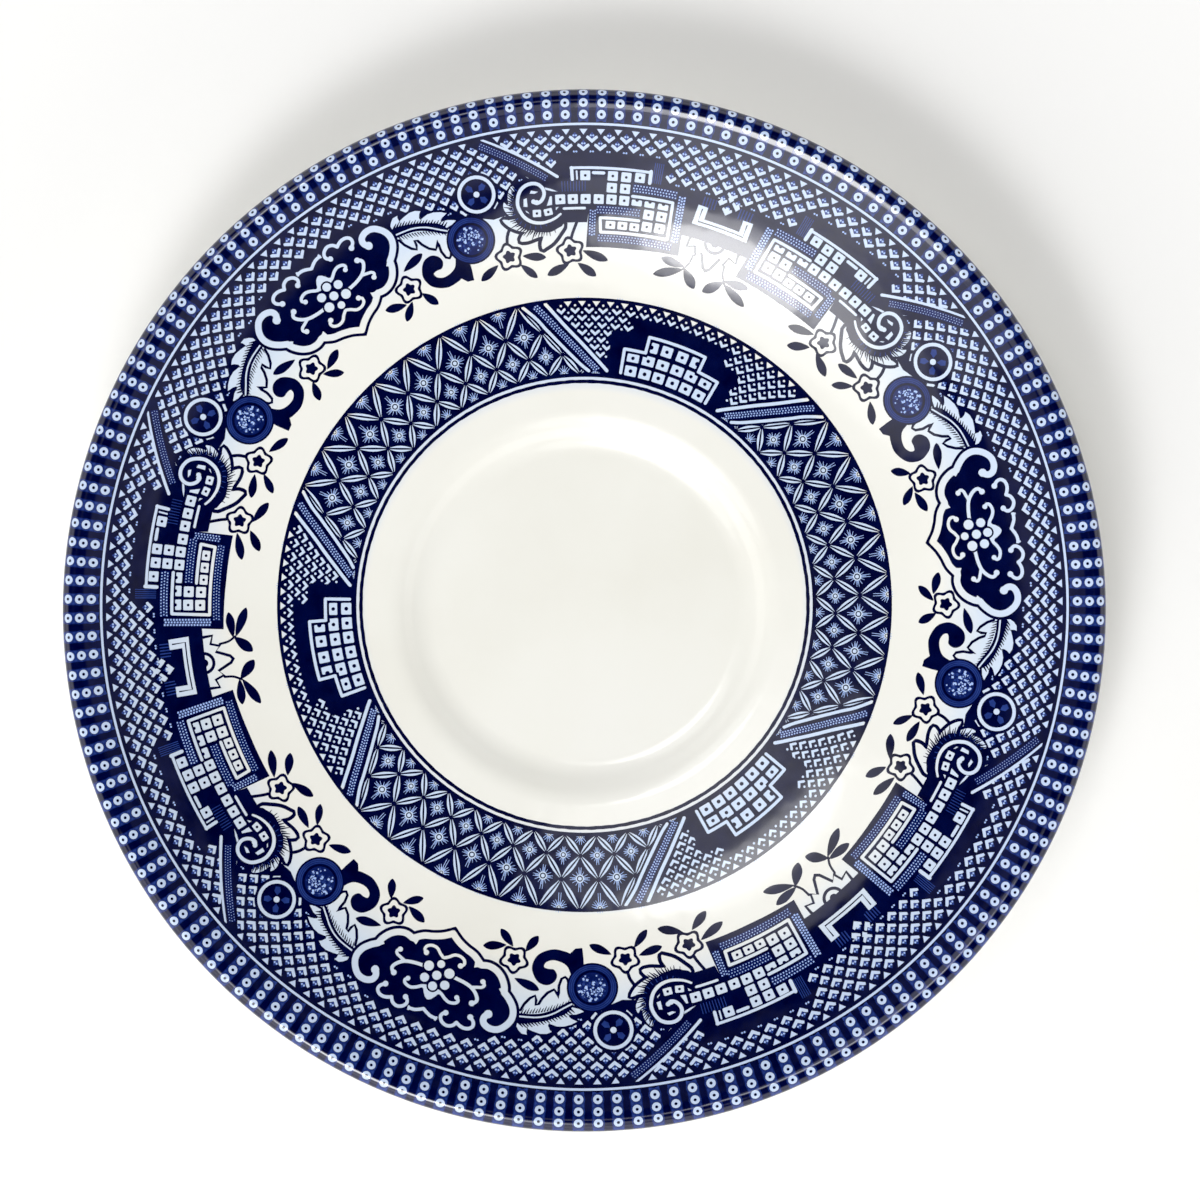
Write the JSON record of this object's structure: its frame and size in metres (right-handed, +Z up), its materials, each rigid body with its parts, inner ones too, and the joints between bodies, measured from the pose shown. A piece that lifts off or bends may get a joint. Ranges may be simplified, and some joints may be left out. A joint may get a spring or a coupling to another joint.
{
  "type": "saucer",
  "caption": "Round cup saucer with a recessed cup well, a flared rim, a raised foot ring and blue printed borders under clear glaze.",
  "frame": {"origin": "centre of the foot ring's contact plane", "axes": "+Z up, out of the dish, along the axis of revolution; +X and +Y lie in the table plane, +Y towards the top of the printed pattern"},
  "size_m": [0.14, 0.14, 0.0187],
  "materials": {
    "biscuit": "matt fired clay, unglazed",
    "glaze": "clear gloss glaze over cream-white clay",
    "cobalt_print": "dark cobalt blue print under gloss glaze"
  },
  "bodies": {
    "root": {"biscuit_body": "biscuit", "glaze_coat": "glaze", "base_glaze": "glaze", "cup_ring_print": "cobalt_print", "inner_band_print": "cobalt_print", "main_border_print": "cobalt_print", "bead_border_print": "cobalt_print"}
  },
  "joints": []
}
